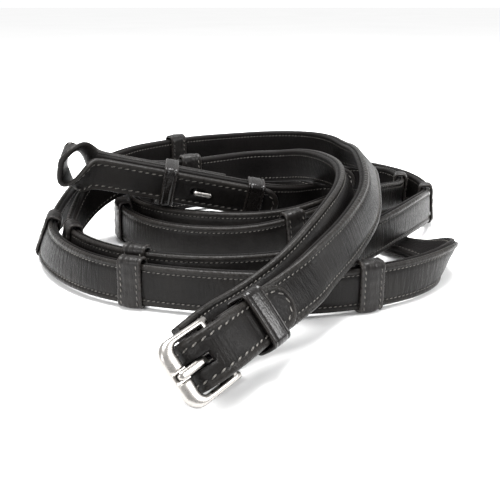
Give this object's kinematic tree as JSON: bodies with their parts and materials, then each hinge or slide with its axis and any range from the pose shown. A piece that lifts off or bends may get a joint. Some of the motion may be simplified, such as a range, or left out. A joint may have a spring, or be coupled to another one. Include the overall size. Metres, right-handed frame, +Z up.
{
  "type": "leather reins",
  "caption": "Pair of stitched leather reins with hand stops, joined by a centre buckle and lying in a loose coil; each far end is a hook-stud billet that loops round a bit ring.",
  "frame": {"origin": "on the ground under the middle of the coil's bounding box", "axes": "+Z up; +Y from the centre buckle towards the back of the coil; +X to the right, seen from the buckle"},
  "size_m": [0.1892, 0.2615, 0.0491],
  "materials": {
    "bridle_leather": "smooth dark leather, waxed, with worn edges",
    "lining_leather": "dark leather lining, slightly duller",
    "trim_leather": "soft dark leather, creased",
    "webbing": "woven webbing core",
    "steel": "satin stainless steel"
  },
  "bodies": {
    "reins": {"billet_half_bit_billet": "bridle_leather", "billet_half_face_leather": "bridle_leather", "billet_half_fixed_keeper": "trim_leather", "billet_half_hand_stop_1": "trim_leather", "billet_half_hand_stop_10": "trim_leather", "billet_half_hand_stop_2": "trim_leather", "billet_half_hand_stop_3": "trim_leather", "billet_half_hand_stop_4": "trim_leather", "billet_half_hand_stop_5": "trim_leather", "billet_half_hand_stop_6": "trim_leather", "billet_half_hand_stop_7": "trim_leather", "billet_half_hand_stop_8": "trim_leather", "billet_half_hand_stop_9": "trim_leather", "billet_half_hook_stud": "steel", "billet_half_lining": "lining_leather", "billet_half_stud_rivet": "steel", "billet_half_webbing": "webbing", "centre_billet": "bridle_leather", "centre_chape": "bridle_leather", "chape_half_bit_billet": "bridle_leather", "chape_half_face_leather": "bridle_leather", "chape_half_fixed_keeper": "trim_leather", "chape_half_hand_stop_1": "trim_leather", "chape_half_hand_stop_2": "trim_leather", "chape_half_hand_stop_3": "trim_leather", "chape_half_hand_stop_4": "trim_leather", "chape_half_hand_stop_5": "trim_leather", "chape_half_hand_stop_6": "trim_leather", "chape_half_hook_stud": "steel", "chape_half_lining": "lining_leather", "chape_half_stud_rivet": "steel", "chape_half_webbing": "webbing"},
    "frame": {"buckle_frame": "steel"},
    "tongue": {"buckle_tongue": "steel"},
    "centre_keeper": {"centre_keeper": "trim_leather"},
    "chape_runner": {"chape_half_runner_keeper": "trim_leather"},
    "billet_runner": {"billet_half_runner_keeper": "trim_leather"}
  },
  "joints": [
    {"name": "frame_swing", "type": "hinge", "parent": "reins", "child": "frame", "pos_m": [-0.00948, -0.11203, 0.01454], "axis": [-0.5433, 0.3222, 0.7753], "range_deg": [-2, 2]},
    {"name": "tongue_lift", "type": "hinge", "parent": "frame", "child": "tongue", "pos_m": [-0.00948, -0.11203, 0.01454], "axis": [-0.5433, 0.3222, 0.7753], "range_deg": [0, 8]},
    {"name": "centre_keeper_slide", "type": "slide", "parent": "reins", "child": "centre_keeper", "axis": [0.6001, 0.7949, 0.0901], "range_m": [-0.001, 0.001]},
    {"name": "chape_runner_slide", "type": "slide", "parent": "reins", "child": "chape_runner", "axis": [0.9718, 0.1046, -0.2116], "range_m": [-0.006, 0]},
    {"name": "billet_runner_slide", "type": "slide", "parent": "reins", "child": "billet_runner", "axis": [0.9951, 0.099, 0], "range_m": [-0.006, 0]}
  ]
}
